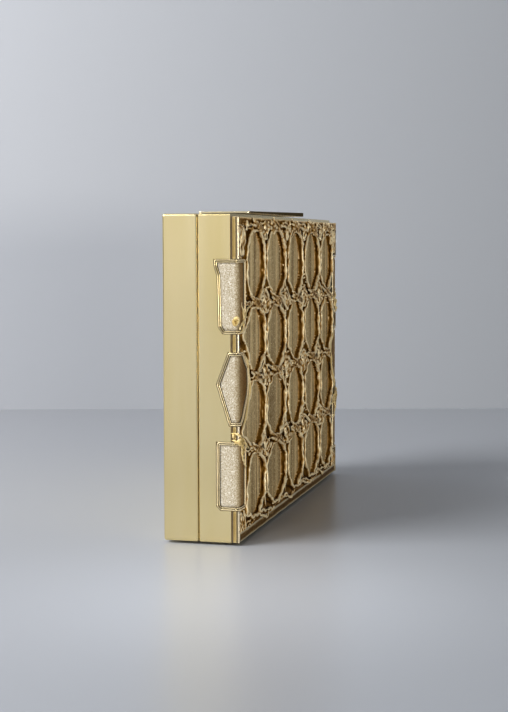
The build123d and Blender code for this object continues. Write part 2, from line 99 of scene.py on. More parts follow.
class Builder:
    """Collects points and faces in millimetres and makes one mesh object of them."""

    def __init__(self):
        self.points = []
        self.faces = []

    def ring_strip(self, rings, closed):
        """Skin between rings of equal length, with flat caps at open ends."""
        count = len(rings[0])
        start = len(self.points)
        for ring in rings:
            self.points.extend(ring)
        last = len(rings) if closed else len(rings) - 1
        for i in range(last):
            a = start + i * count
            b = start + ((i + 1) % len(rings)) * count
            for k in range(count):
                n = (k + 1) % count
                self.faces.append((a + k, a + n, b + n, b + k))
        if not closed:
            self.faces.append(tuple(start + k for k in reversed(range(count))))
            end = start + (len(rings) - 1) * count
            self.faces.append(tuple(end + k for k in range(count)))

    def slab(self, front, back, stride):
        """Closed plate between two grids of points, each listed column by column."""
        start, total = len(self.points), len(front)
        columns = total // stride
        self.points.extend(front + back)
        for i in range(columns - 1):
            for k in range(stride - 1):
                a = start + i * stride + k
                b = a + total
                self.faces.append((a, a + 1, a + stride + 1, a + stride))
                self.faces.append((b, b + stride, b + stride + 1, b + 1))
        rim = [i * stride for i in range(columns)]
        rim += [(columns - 1) * stride + k for k in range(1, stride)]
        rim += [i * stride + stride - 1 for i in range(columns - 2, -1, -1)]
        rim += list(range(stride - 2, 0, -1))
        for a, b in zip(rim, rim[1:] + rim[:1]):
            a, b = start + a, start + b
            self.faces.append((a, b, total + b, total + a))

    def blob(self, centre, radii, seed, rough=0.5):
        """Lumpy ball."""
        ball = bmesh.new()
        bmesh.ops.create_icosphere(ball, subdivisions=2, radius=1.0)
        start = len(self.points)
        for vertex in ball.verts:
            swell = 1 + rough * noise.noise(vertex.co * 1.7 + Vector((seed * 3.1, 0, 0)))
            self.points.append(tuple(centre[k] + vertex.co[k] * radii[k] * swell for k in range(3)))
        for face in ball.faces:
            self.faces.append(tuple(start + v.index for v in face.verts))
        ball.free()

    def build(self, name):
        """Makes the object, smooth shaded, with its faces outward."""
        mesh = bpy.data.meshes.new(name)
        mesh.from_pydata([tuple(c * MM for c in p) for p in self.points], [], self.faces)
        mesh.validate()
        work = bmesh.new()
        work.from_mesh(mesh)
        bmesh.ops.recalc_face_normals(work, faces=work.faces)
        work.to_mesh(mesh)
        work.free()
        piece = bpy.data.objects.new(name, mesh)
        bpy.context.scene.collection.objects.link(piece)
        for polygon in mesh.polygons:
            polygon.use_smooth = True
        return piece


def unroll(u, z, out, side=-1, radius=CORNER_RADIUS):
    """Point and outward direction at u, z on the front or, past the corner, on the end wall.

    side -1 is the end where u is the distance from the left corner, +1 the mirrored end."""
    if u > radius:
        x, y, nx, ny = u, -out, 0.0, -1.0
    elif u < -radius:
        x, y, nx, ny = -out, -u, -1.0, 0.0
    else:
        angle = pi / 4 * (1 - u / radius)
        nx, ny = -sin(angle), -cos(angle)
        x, y = radius + (radius + out) * nx, radius + (radius + out) * ny
    place = Vector((END_X + x, FRONT_Y + y, BASE_Z + z))
    normal = Vector((nx, ny, 0.0))
    if side > 0:
        place.x, normal.x = -place.x, -normal.x
    return place, normal


def rounded(corners, radius, steps=6):
    """Outline with its corners rounded."""
    points = []
    count = len(corners)
    for i in range(count):
        before, corner, after = (np.array(corners[k % count], float) for k in (i - 1, i, i + 1))
        back, ahead = before - corner, after - corner
        back_length, ahead_length = np.linalg.norm(back), np.linalg.norm(ahead)
        half_turn = np.arccos(np.clip(back @ ahead / (back_length * ahead_length), -1, 1)) / 2
        cut = min(radius / np.tan(half_turn), 0.45 * back_length, 0.45 * ahead_length)
        start = corner + back / back_length * cut
        end = corner + ahead / ahead_length * cut
        for t in np.linspace(0, 1, steps):
            points.append((1 - t) ** 2 * start + 2 * t * (1 - t) * corner + t ** 2 * end)
    return points


def smooth_line(corners, rounds=3):
    """Cuts the corners of an open line until it is round."""
    points = [np.array(p, float) for p in corners]
    for _ in range(rounds):
        cut = []
        for a, b in zip(points, points[1:]):
            cut.append(0.75 * a + 0.25 * b)
            cut.append(0.25 * a + 0.75 * b)
        points = [points[0]] + cut + [points[-1]]
    return points


def resample(points, count, closed):
    """Evenly spaced points along a line."""
    path = np.array(points + [points[0]] if closed else points)
    steps = np.linalg.norm(np.diff(path, axis=0), axis=1)
    along = np.concatenate([[0], np.cumsum(steps)])
    at = np.linspace(0, along[-1], count + 1 if closed else count)
    if closed:
        at = at[:-1]
    return np.stack([np.interp(at, along, path[:, k]) for k in range(path.shape[1])], axis=1)


def strand(builder, path, width, height, seed, side=-1, closed=False, sides=8, rough=0.4,
           wobble=0.0):
    """Tube along u, z, out points, uneven in thickness; open ends are drawn in."""
    places = [unroll(u, z, out, side) for u, z, out in path]
    count = len(places)
    rings = []
    for i, (centre, normal) in enumerate(places):
        before = places[i - 1][0] if closed or i > 0 else centre
        after = places[(i + 1) % count][0] if closed or i < count - 1 else centre
        tangent = (after - before).normalized()
        across = tangent.cross(normal).normalized()
        lift = across.cross(tangent).normalized()
        swell = 1 + rough * 2 * noise.noise(Vector((i * 0.35, seed, 0.5)))
        taper = 1.0
        if not closed:
            taper = min(1.0, 0.35 + 3.0 * min(i, count - 1 - i) / count)
        shift = across * (wobble * noise.noise(Vector((seed, i * 0.21, 7.3))))
        ring = []
        for k in range(sides):
            angle = 2 * pi * k / sides
            reach = across * (cos(angle) * width * swell * taper)
            reach += lift * (sin(angle) * height * swell * taper)
            ring.append(tuple(centre + shift + reach))
        rings.append(ring)
    builder.ring_strip(rings, closed)


def twig(builder, path, thickness, seed, closed=False, rough=0.4):
    """Thin strand of round section."""
    strand(builder, path, thickness, thickness, seed, closed=closed, sides=6, rough=rough)


# ---- Openwork front ----

def wander(a, b, c=0.0):
    """Smooth noise from -1 to 1."""
    return noise.noise(Vector((a, b, c)))


def cell_outline(column, row):
    """Rounded, slightly uneven outline of one cell's mouth."""
    left, right = COLUMNS[column]
    low, high = ROWS[row]
    middle, centre = (left + right) / 2, (low + high) / 2
    half, span = (high - low) / 2, right - left
    top = [(middle - 0.24 * span, high + 0.2), (middle + 0.24 * span, high + 0.2)]
    foot = [(middle + 0.16 * span, low - 0.4), (middle - 0.16 * span, low - 0.4)]
    right_side = [(right + 0.3, centre + 0.5 * half), (right + 0.3, centre - 0.42 * half)]
    left_side = [(left - 0.3, centre - 0.42 * half), (left - 0.3, centre + 0.5 * half)]
    if column == 0:
        left_side = list(LEFT_SIDES[row])
    corners = []
    for k, (s, z) in enumerate(top + right_side + foot + left_side):
        shift = 1.5 * wander(column * 1.7 + k, row * 2.3, 4.0)
        corners.append((s + shift, z + 1.5 * wander(row * 1.9 + k, column * 2.9, 9.0)))
    return rounded(corners, CELL_ROUND, 8)


def outward(loop):
    """Unit directions that point away from the inside of a loop."""
    ahead = np.roll(loop, -1, axis=0) - np.roll(loop, 1, axis=0)
    ahead /= np.maximum(np.linalg.norm(ahead, axis=1), 1e-6)[:, None]
    away = np.stack([-ahead[:, 1], ahead[:, 0]], axis=1)
    area = np.sum(loop[:, 0] * np.roll(loop[:, 1], -1) - np.roll(loop[:, 0], -1) * loop[:, 1])
    return away if area < 0 else -away


def cell_walls(builder, outline, seed):
    """Band that drops from a cell's rim to the cloth and spreads into the rib around it."""
    loop = resample(outline, WALL_POINTS, True)
    away = outward(loop)
    rings = []
    for i, (spot, way) in enumerate(zip(loop, away)):
        foot = spot - way * (0.35 + 0.35 * wander(i * 0.3, seed, 2.0))
        back = spot + way * 1.5
        crest = -1.5 + 0.4 * wander(i * 0.2, seed, 5.0)
        corners = ((foot, FLOOR_OUT), (spot, -0.3), (back, crest), (back, FLOOR_OUT))
        rings.append([tuple(unroll(s, z, out)[0]) for (s, z), out in corners])
    builder.ring_strip(rings, True)


def cell_rim(builder, outline, seed):
    """Uneven ridge on the mouth of a cell, rising and dipping as it goes round."""
    loop = resample(outline, RIM_POINTS, True)
    path = []
    for s, z in loop:
        lift = -0.1 + 0.35 * wander(s * 0.15, z * 0.15, seed)
        path.append((s, z, lift))
    strand(builder, path, *RIM_STRAND, seed, closed=True, rough=0.35, wobble=0.8)


FRONT_ENDS = (2.0, 172.0)


def spread_at(s):
    """How far fibres stand apart: 1 at a rib or an end of the front, 0 in front of a cell."""
    near = min(abs(s - rib) for rib in RIBS + FRONT_ENDS)
    return max(0.0, 1.0 - near / 12.0) ** 1.3


def band_fibres(builder, z, count, reach, seed):
    """Long fibres between two rows, pinched where cells meet and parted at the junctions."""
    start = MIDDLE_BAND_END if z == BANDS[1] else BAND_END
    for k in range(count):
        phase = 2 * pi * k / count
        turns = 0.03 + 0.015 * wander(k * 1.3, seed)
        path = []
        for s in np.arange(start, WIDTH - start - 1.4, 0.8):
            apart = spread_at(s)
            turn = phase + 2 * pi * turns * s + 2.5 * wander(s * 0.05, k, seed)
            height = z + cos(turn) * (0.8 + reach * apart) + 1.3 * wander(s * 0.3, k * 3.0, seed)
            lift = -0.35 + 0.5 * sin(turn) + 0.6 * wander(s * 0.3, k, seed + 5)
            path.append((s, height, min(lift, 0.6)))
        thickness = 0.5 + 0.14 * wander(k * 2.2, seed, 3.0)
        twig(builder, path, thickness, seed + k)


def slanting_fibres(builder, middle, z, seed):
    """Short bold fibres that cross a pinch from the upper left to the lower right."""
    local = np.random.default_rng(seed)
    for k in range(3):
        start, end = middle - local.uniform(6, 11), middle + local.uniform(6, 12)
        rise = local.uniform(1.2, 3.4)
        offset = 1.3 * (k - 1)
        corners = ((start, z + rise + offset), (middle - 3, z + 0.7 + 0.6 * offset),
                   (middle + 3, z - 0.6 + 0.6 * offset), (end, z - rise + offset))
        line = resample(smooth_line(corners), 30, False)
        path = []
        for i, (s, height) in enumerate(line):
            height += 0.45 * wander(i * 0.35, seed, k)
            path.append((s, height, 0.3 + 0.4 * wander(i * 0.25, k, seed)))
        thickness = local.uniform(0.45, 0.62)
        twig(builder, path, thickness, seed + k)


def upper_legs(builder, left, right, seed):
    """Twigs that rise from both sides of a top cell to a point, with short ones beside them."""
    local = np.random.default_rng(seed)
    peak = (left + right) / 2 + local.uniform(-2, 2)
    for foot, way in ((left - 0.6, -1), (right + 0.6, 1)):
        corners = ((foot, 103.0), (foot - way * 1.6, 109.5), (peak + way * 3.6, HEIGHT - 4.4),
                   (peak + way * 1.2, HEIGHT - 1.6))
        line = resample(smooth_line(corners), 26, False)
        path = [(s, z, 0.1 + 0.4 * wander(i * 0.3, seed, way)) for i, (s, z) in enumerate(line)]
        twig(builder, path, 0.5, seed + way)
    for k in range(5):
        s = local.uniform(left - 1.5, right + 1.5)
        low, high = HEIGHT - local.uniform(5.0, 8.0), HEIGHT - local.uniform(1.4, 2.4)
        path = []
        for i, z in enumerate(np.linspace(low, high, 12)):
            lift = 0.1 + 0.5 * wander(i * 0.3, k, seed)
            path.append((s + 0.8 * wander(i * 0.3, seed, k), z, lift))
        thickness = local.uniform(0.45, 0.9)
        strand(builder, path, thickness, 0.5, seed + k, sides=6, rough=0.5)


def margin_fibres(builder, side, low, high, seed):
    """Upright wavy fibres in the corners of the front, beside the outer cells."""
    for k in range(5):
        path = []
        for z in np.arange(low, high, 0.6):
            s = 2.6 + 1.5 * k + 1.3 * wander(z * 0.22, k, seed)
            place = s if side < 0 else WIDTH - s
            path.append((place, z, -0.3 + 0.5 * wander(z * 0.35, seed, k)))
        strand(builder, path, *MARGIN_STRAND, seed + k, sides=6, rough=0.5)


def curl(builder, middle, size, tilt, thickness, seed):
    """Small uneven ring that stands a little proud."""
    path = []
    for step in range(22):
        angle = 2 * pi * step / 22
        ds, dz = size[0] * cos(angle), size[1] * sin(angle)
        uneven = 0.4 * wander(step * 0.5, seed)
        lift = 0.15 + 0.6 * wander(step * 0.3, seed, 2.0)
        path.append((middle[0] + ds + tilt * dz, middle[1] + dz + uneven, lift))
    twig(builder, path, thickness, seed, closed=True)


def junction(builder, rib, z, seed):
    """Dark hollow where four cells meet, with curls, crossing twigs and lumps in it."""
    local = np.random.default_rng(seed)
    curl(builder, (rib + local.uniform(-0.6, 0.6), z - 1.6), (2.0, 2.6), 0.2, 0.55, seed)
    curl(builder, (rib + local.uniform(-3.4, -2.4), z + 0.4), (1.2, 1.8), -0.4, 0.45, seed + 1)
    curl(builder, (rib + local.uniform(2.2, 3.2), z - 0.8), (1.2, 1.6), 0.5, 0.45, seed + 2)
    for k in range(5):
        start = rib + local.uniform(-4.5, 1.0), z + local.uniform(1.0, 4.6)
        end = rib + local.uniform(-1.0, 4.5), z - local.uniform(2.0, 5.5)
        bend = rib + local.uniform(-1.6, 1.6), z + local.uniform(-2, 2)
        line = resample(smooth_line((start, bend, end), 2), 14, False)
        path = [(s, h, -0.3 + 0.7 * wander(i * 0.35, seed, k)) for i, (s, h) in enumerate(line)]
        thickness = local.uniform(0.34, 0.5)
        twig(builder, path, thickness, seed + k, rough=0.5)
    for k in range(4):
        size = local.uniform(0.5, 0.85)
        place = rib + local.uniform(-3, 3), z + local.uniform(-4.5, 2.5), local.uniform(-0.4, 0.5)
        point, _ = unroll(*place)
        radii = size, size * 0.8, size * local.uniform(0.8, 1.4)
        builder.blob(point, radii, seed + k)


def rib_fibres(builder, rib, low, high, seed):
    """Two rounded ridges with a groove between them, parting where the rib meets a junction."""
    middle, half = (low + high) / 2, (high - low) / 2
    for way in (-1, 1):
        path = []
        for z in np.arange(low - 1.0, high + 1.0, 0.7):
            flare = max(0.0, abs(z - middle) / half - 0.45) ** 1.5
            s = rib + way * (0.95 + 5.0 * flare) + 0.6 * wander(z * 0.12, seed, way)
            path.append((s, z, -1.1 + 0.4 * wander(z * 0.2, way, seed)))
        strand(builder, path, *RIB_STRAND, seed + way)


def web_height(s, z):
    """Height of the metal between the cells, sunk in the hollows where four cells meet."""
    to_rib = min(abs(s - rib) for rib in RIBS)
    to_band = min(abs(z - band) for band in BANDS)
    sunk = max(0.0, 1 - (to_rib / 6.0) ** 2 - (to_band / 7.0) ** 2)
    margin = max(0.0, 1 - min(s, WIDTH - s) / 11.0) ** 0.5 * (z > 100 or z < 14)
    margin = max(margin, min(1.0, (z - HEIGHT + 7.0) / 3.0), min(1.0, (8.0 - z) / 3.0))
    height = -1.65 + 0.5 * wander(s * 0.16, z * 0.3, 1.0) - 0.9 * sunk ** 0.5 + 0.9 * margin
    return max(height, FLOOR_OUT + 0.2)


# Room that the web leaves for the corner windows: low z, high z and reach from the edge
WINDOW_GAPS = ((12.0, 38.0, 8.8), (39.0, 71.0, 12.6), (76.0, 104.0, 8.8))
# Pointed pits above the junctions: foot and top above the band
PIT_FOOT, PIT_TOP = 3.4, 9.0
WEB_STEP = 1.0


def backing_web(builder, outlines):
    """Low, uneven metal between the cells, open at the small dark gaps above the junctions."""
    columns = np.arange(1.0, WIDTH - 3.2, WEB_STEP)
    rows = np.arange(2.6, HEIGHT - 2.2, WEB_STEP)
    solid = np.ones((len(columns), len(rows)), bool)
    grid = np.stack(np.meshgrid(columns, rows, indexing="ij"), axis=-1) + WEB_STEP / 2
    for loop in outlines:
        solid &= ~inside(grid, resample(loop, 60, True))
    for rib in RIBS:
        for z in BANDS:
            pit = np.abs(grid[..., 0] - rib) < 0.5 * (z + PIT_TOP - grid[..., 1])
            solid &= ~(pit & (grid[..., 1] > z + PIT_FOOT))
    for z_low, z_high, reach in WINDOW_GAPS:
        window = (grid[..., 1] > z_low) & (grid[..., 1] < z_high)
        solid &= ~(window & (grid[..., 0] < reach))
        solid &= ~(window & (grid[..., 0] > WIDTH - reach))
    corners = {}

    def corner(i, k, top):
        key = (i, k, top)
        if key not in corners:
            s, z = columns[0] + i * WEB_STEP, rows[0] + k * WEB_STEP
            out = web_height(s, z) if top else FLOOR_OUT
            corners[key] = len(builder.points)
            builder.points.append(tuple(unroll(s, z, out)[0]))
        return corners[key]

    def is_solid(i, k):
        return 0 <= i < solid.shape[0] and 0 <= k < solid.shape[1] and solid[i, k]

    for i, k in zip(*np.nonzero(solid)):
        round_it = ((i, k), (i + 1, k), (i + 1, k + 1), (i, k + 1))
        builder.faces.append(tuple(corner(*c, True) for c in round_it))
        builder.faces.append(tuple(corner(*c, False) for c in reversed(round_it)))
        beside = ((i, k - 1), (i + 1, k), (i, k + 1), (i - 1, k))
        for edge, next_cell in enumerate(beside):
            if not is_solid(*next_cell):
                a, b = round_it[edge], round_it[(edge + 1) % 4]
                wall = corner(*a, True), corner(*a, False), corner(*b, False), corner(*b, True)
                builder.faces.append(wall)


def inside(grid, loop):
    """Which grid points lie inside a closed outline."""
    x, y = grid[..., 0], grid[..., 1]
    hit = np.zeros(x.shape, bool)
    for (x0, y0), (x1, y1) in zip(loop, np.roll(loop, -1, axis=0)):
        if y0 == y1:
            continue
        crosses = (y0 > y) != (y1 > y)
        hit ^= crosses & (x < (x1 - x0) * (y - y0) / (y1 - y0) + x0)
    return hit


# Fibres that leave the front and wrap onto the end wall, as (u, z) corners
WRAPPED = (
    ((0.8, 78.4), (3.0, 80.0), (6.0, 82.6), (11.0, 85.4), (18.0, 87.0)),
    ((0.2, 77.0), (2.4, 77.2), (4.6, 79.0), (5.4, 82.0), (4.2, 85.2), (2.6, 88.0)),
    ((3.6, 70.6), (9.8, 66.8), (13.4, 61.6), (13.8, 56.0), (10.6, 49.4), (5.0, 42.6), (1.0, 39.4)),
    ((-3.4, 40.4), (-1.4, 40.8), (2.2, 38.4), (7.0, 36.0), (13.0, 33.4)),
    ((-2.8, 38.2), (-0.6, 37.4), (3.2, 35.4), (6.4, 32.4)),
    ((-2.0, 36.2), (0.8, 38.8), (4.4, 38.0), (9.6, 33.6)),
    ((-0.6, 41.2), (2.0, 37.4), (3.6, 33.2), (2.6, 29.8)),
    ((1.4, 35.4), (4.0, 30.0), (8.4, 26.4)),
)
# Small rings among them: (u, z), half width and half height
RINGS = (((-0.9, 81.0), (1.0, 1.35)), ((0.8, 37.4), (1.3, 1.5)), ((3.4, 34.6), (1.2, 1.7)))
# Lumps among them: u, z and size
LUMPS = (
    (0.6, 78.6, 0.6), (-1.5, 80.2, 0.75), (-0.2, 81.9, 0.7), (-0.9, 81.0, 0.5),
    (-2.2, 39.6, 0.7), (0.8, 37.4, 0.7), (3.0, 36.6, 0.8), (5.2, 34.0, 0.7),
)
# Sizes of the cubes that fused pieces are rebuilt from
LATTICE_VOXEL = 0.36
NUGGET_VOXEL = 0.25
LINING_VOXEL = 0.45
# A fused piece's islands with fewer points are dropped; the lattice is all one island
CRUMB_POINTS = 60
LATTICE_CRUMB_POINTS = 4000


def wrapped_fibres(builder, side):
    """Cast fibres, rings and lumps that lie over the corners of the windows."""
    for k, corners in enumerate(WRAPPED):
        line = resample(smooth_line(corners), 30, False)
        path = [(u, z, 0.35 + 0.35 * wander(i * 0.25, k, 11.0)) for i, (u, z) in enumerate(line)]
        strand(builder, path, *WRAPPED_STRAND, 60 + k, side, rough=0.3, wobble=0.4)
    for k, (middle, size) in enumerate(RINGS):
        path = []
        for step in range(26):
            angle = 2 * pi * step / 26
            swell = 0.8 + 0.5 * wander(cos(angle) * 1.2, sin(angle) * 1.2, k * 4.1)
            u = middle[0] + size[0] * swell * cos(angle) + 0.3 * sin(angle)
            path.append((u, middle[1] + size[1] * swell * sin(angle), 0.35))
        strand(builder, path, *RING_STRAND, 80 + k, side, closed=True, rough=0.45)
    for k, (u, z, size) in enumerate(LUMPS):
        point, _ = unroll(u, z, 0.3, side)
        builder.blob(point, (size, size * 0.8, size * 1.2), 90 + k)


def drop_crumbs(mesh, least):
    """Removes loose bits with fewer points than that, such as bubbles inside fused metal."""
    work = bmesh.new()
    work.from_mesh(mesh)
    crumbs = []
    for first in work.verts:
        if first.tag:
            continue
        first.tag = True
        island = [first]
        for vertex in island:
            for edge in vertex.link_edges:
                other = edge.other_vert(vertex)
                if not other.tag:
                    other.tag = True
                    island.append(other)
        if len(island) < least:
            crumbs += island
    bmesh.ops.delete(work, geom=crumbs, context="VERTS")
    work.to_mesh(mesh)
    work.free()


def fuse(piece, size, least=CRUMB_POINTS):
    """Melts overlapping strands into one skin and leaves out what came loose."""
    remesh = piece.modifiers.new("fuse", "REMESH")
    remesh.mode = "VOXEL"
    remesh.voxel_size = size * MM
    remesh.use_smooth_shade = True
    evaluated = piece.evaluated_get(bpy.context.evaluated_depsgraph_get())
    mesh = bpy.data.meshes.new_from_object(evaluated)
    piece.modifiers.clear()
    drop_crumbs(mesh, least)
    piece.data = mesh


def make_lattice():
    """Cells, web, fibres and junctions, fused into one casting.

    Each kind of fibre has seeds of its own, so that no two look alike."""
    builder = Builder()
    outlines = []
    for column in range(len(COLUMNS)):
        for row in range(len(ROWS)):
            outline = cell_outline(column, row)
            outlines.append(outline)
            seed = column * 10 + row
            cell_walls(builder, outline, seed)
            cell_rim(builder, outline, seed)
    backing_web(builder, outlines)
    for index, z in enumerate(BANDS):
        band_fibres(builder, z, 3, 4.2, 100 + index)
        for column, rib in enumerate(RIBS):
            junction(builder, rib, z, 200 + index * 10 + column)
        for column, (left, right) in enumerate(COLUMNS):
            slanting_fibres(builder, (left + right) / 2, z, 700 + index * 10 + column)
    for column, rib in enumerate(RIBS):
        for row, (low, high) in enumerate(ROWS):
            rib_fibres(builder, rib, low, high, 500 + column * 10 + row)
    for side in END_NAMES:
        for (low, high), seed in zip(MARGINS, (610, 620)):
            margin_fibres(builder, side, low, high, seed + side)
    for column, (left, right) in enumerate(COLUMNS):
        slanting_fibres(builder, (left + right) / 2, HEIGHT - 4.0, 730 + column)
    for column, rib in enumerate(RIBS):
        curl(builder, (rib, HEIGHT - 7.0), (1.8, 2.2), 0.3, 0.5, 640 + column)
    band_fibres(builder, HEIGHT - 4.6, 2, 2.0, 300)
    for column, (left, right) in enumerate(COLUMNS):
        upper_legs(builder, left, right, 800 + column)
    band_fibres(builder, 5.0, 2, 1.4, 400)
    lattice = builder.build("lattice")
    fuse(lattice, LATTICE_VOXEL, LATTICE_CRUMB_POINTS)
    return lattice


def corner_nuggets(side):
    """The wrapped fibres of one end, fused into cast metal."""
    builder = Builder()
    wrapped_fibres(builder, side)
    nuggets = builder.build(f"corner_nuggets_{END_NAMES[side]}")
    fuse(nuggets, NUGGET_VOXEL)
    return nuggets


# ---- Materials ----

# Painted shade on the window cloth, darkening and browning it from the end wall round the corner to
# the end of its front leg
TURNED_SHADE = (
    (0.0, (1.0, 1.0, 1.0)),
    (0.25, (0.86, 0.78, 0.62)),
    (0.5, (0.62, 0.44, 0.22)),
    (1.0, (0.34, 0.19, 0.06)),
)
# Patina and painted shade from the hollows to the worn ridges, which carry painted highlight too
PATINA_AND_SHADE = (
    (0.0, (0.036, 0.013, 0.0005)),
    (0.4, (0.20, 0.094, 0.013)),
    (0.64, (0.66, 0.41, 0.15)),
    (0.86, (1.0, 0.85, 0.55)),
)
# Cast gold from the hollows to the ridges, carrying the same patina, painted shade and painted
# highlight
CAST_GOLD = (
    (0.0, (0.12, 0.06, 0.012)),
    (0.35, (0.50, 0.34, 0.11)),
    (0.65, (0.74, 0.54, 0.22)),
    (1.0, (0.92, 0.75, 0.40)),
)

# Antique gold's place on its ramp: what depth gives at most, darker deeper in as patina with
# painted shade, and what ridges, lighter as wear with painted highlight, and mottling add
DEPTH_LEVEL = 0.56
POINTINESS = (0.47, 0.56)
RIDGE_LEVELS = (-0.5, 0.55)
MOTTLE_LEVELS = (-0.16, 0.16)
PATINA_GLOSS = (0.6, 0.4, 0.17, 1.0)
# How noise is stretched: long upright clouds and streaks, and threads both ways
CLOUDS = (45.0, 75.0, 9.0)
STREAKS = (330.0, 330.0, 9.0)
THREADS = ((90.0, 90.0, 3200.0), (3200.0, 3200.0, 90.0))
SPECK_SCALE = 2600.0


class Paint:
    """A node material under construction. Its methods return the new node's output."""

    def __init__(self, name):
        self.made = bpy.data.materials.new(name)
        self.made.use_nodes = True
        self.nodes = self.made.node_tree.nodes
        self.shader = self.nodes["Principled BSDF"]

    def feed(self, node, inputs):
        """Sets inputs to values, or links those that are given another node's output."""
        for key, value in inputs.items():
            if isinstance(value, bpy.types.NodeSocket):
                self.made.node_tree.links.new(value, node.inputs[key])
            else:
                node.inputs[key].default_value = value

    def shade(self, **inputs):
        """Feeds the shader; Base_Color stands for Base Color, and so on."""
        self.feed(self.shader, {key.replace("_", " "): value for key, value in inputs.items()})

    def add(self, kind, output, inputs, **settings):
        """Adds a node; its settings come first, because they can change its inputs."""
        node = self.nodes.new("ShaderNode" + kind)
        for key, value in settings.items():
            setattr(node, key, value)
        self.feed(node, inputs)
        return node.outputs[output]

    def axis(self, name, source="Object"):
        """One of X, Y and Z of the object's own coordinates or of its normal."""
        place = self.add("TexCoord", source, {})
        return self.add("SeparateXYZ", name, {"Vector": place})

    def span(self, value, start, end, low=0.0, high=1.0):
        """Low where the value is at start, high where it is at end, and held beyond them."""
        return self.add("MapRange", "Result", {"Value": value, "From Min": start, "From Max": end,
                                               "To Min": low, "To Max": high})

    def maths(self, operation, *values):
        """Result of a sum or the like."""
        return self.add("Math", "Value", dict(enumerate(values)), operation=operation)

    def mix(self, factor, a, b, **settings):
        """A where the factor is 0 and B where it is 1."""
        return self.add("Mix", "Result", {"Factor": factor, "A": a, "B": b}, **settings)

    def noise(self, scale, detail=3.0, stretch=None):
        """Noise on the object's own coordinates, optionally stretched."""
        place = self.add("TexCoord", "Object", {})
        if stretch:
            place = self.add("Mapping", "Vector", {"Vector": place, "Scale": stretch})
        return self.add("TexNoise", "Fac", {"Vector": place, "Scale": scale, "Detail": detail})

    def ramp(self, value, stops):
        """Colour ramp fed by a value."""
        colour = self.add("ValToRGB", "Color", {"Fac": value})
        elements = colour.node.color_ramp.elements
        while len(elements) < len(stops):
            elements.new(0.5)
        for element, (position, tone) in zip(elements, stops):
            element.position = position
            element.color = (*tone, 1.0)
        return colour

    def bump(self, height, strength, distance):
        """Gives the shader small relief."""
        inputs = {"Height": height, "Strength": strength, "Distance": distance}
        self.shade(Normal=self.add("Bump", "Normal", inputs))


def scaled(tone, *factors):
    """Colour with its red, green and blue scaled, and held at 1."""
    return tuple(min(1.0, c * f) for c, f in zip(tone, factors))


def toned(stops, *factors):
    """Stops of a ramp with their red, green and blue scaled."""
    return [(at, scaled(tone, *factors)) for at, tone in stops]


def polished_gold(name, colour, roughness, front_shade=None):
    """Polished metal with faint clouds; a front shade paints the narrow faces towards the front
    dull and dark, a painted dark reflection.
    """
    paint = Paint(name)
    paint.shade(Metallic=1.0)
    low, high = scaled(colour, 0.95, 0.92, 0.84), scaled(colour, 1.02, 1.02, 1.08)
    tint = paint.ramp(paint.noise(1.0, stretch=CLOUDS), [(0.32, low), (0.62, high)])
    haze = paint.noise(40.0, 1.0)
    paint.shade(Roughness=paint.span(haze, 0.0, 1.0, roughness * 0.92, roughness * 1.1))
    # Faces towards the front: painted dark reflection in place of the metal's own
    if front_shade:
        facing = paint.span(paint.axis("Y", "Normal"), -0.2, -0.8)
        tint = paint.mix(facing, tint, (*front_shade, 1.0), data_type="RGBA")
        paint.shade(Metallic=paint.maths("SUBTRACT", 1.0, facing), Specular_IOR_Level=0.0)
    paint.shade(Base_Color=tint)
    return paint.made


def antique_gold(name, floor_level, patina_and_shade, specular=0.3):
    """Cast gold with brown patina and painted shade in its hollows and wear with painted highlight
    on its ridges: colour follows depth, ridges and mottling.
    """
    paint = Paint(name)
    floor_y, front_y = (FRONT_Y - FLOOR_OUT) * MM, (FRONT_Y - 0.1) * MM
    # Darker further back from the front: patina with painted shade
    depth = paint.span(paint.axis("Y"), floor_y, front_y, floor_level, DEPTH_LEVEL)
    pointed = paint.add("NewGeometry", "Pointiness", {})
    # Lighter on sharp ridges: wear with painted highlight
    ridge = paint.span(pointed, *POINTINESS, *RIDGE_LEVELS)
    mottle = paint.span(paint.noise(420.0, 4.0), 0.0, 1.0, *MOTTLE_LEVELS)
    level = paint.maths("ADD", paint.maths("ADD", depth, ridge), mottle)
    paint.shade(Base_Color=paint.ramp(level, patina_and_shade), Metallic=0.2,
                Roughness=paint.span(level, 0.0, 1.0, 0.6, 0.3),
                Specular_IOR_Level=specular, Specular_Tint=PATINA_GLOSS)
    paint.bump(paint.noise(1500.0), 0.35, 0.0003)
    return paint.made


def past_corner(paint):
    """0 on the end walls, rising from just before the corner to 1 across the front legs."""
    along = paint.maths("ADD", paint.maths("ABSOLUTE", paint.axis("X")), paint.axis("Y"))
    fold = (FRONT_Y - END_X) * MM
    return paint.span(along, fold + 2.0 * MM, fold - 7.0 * MM)


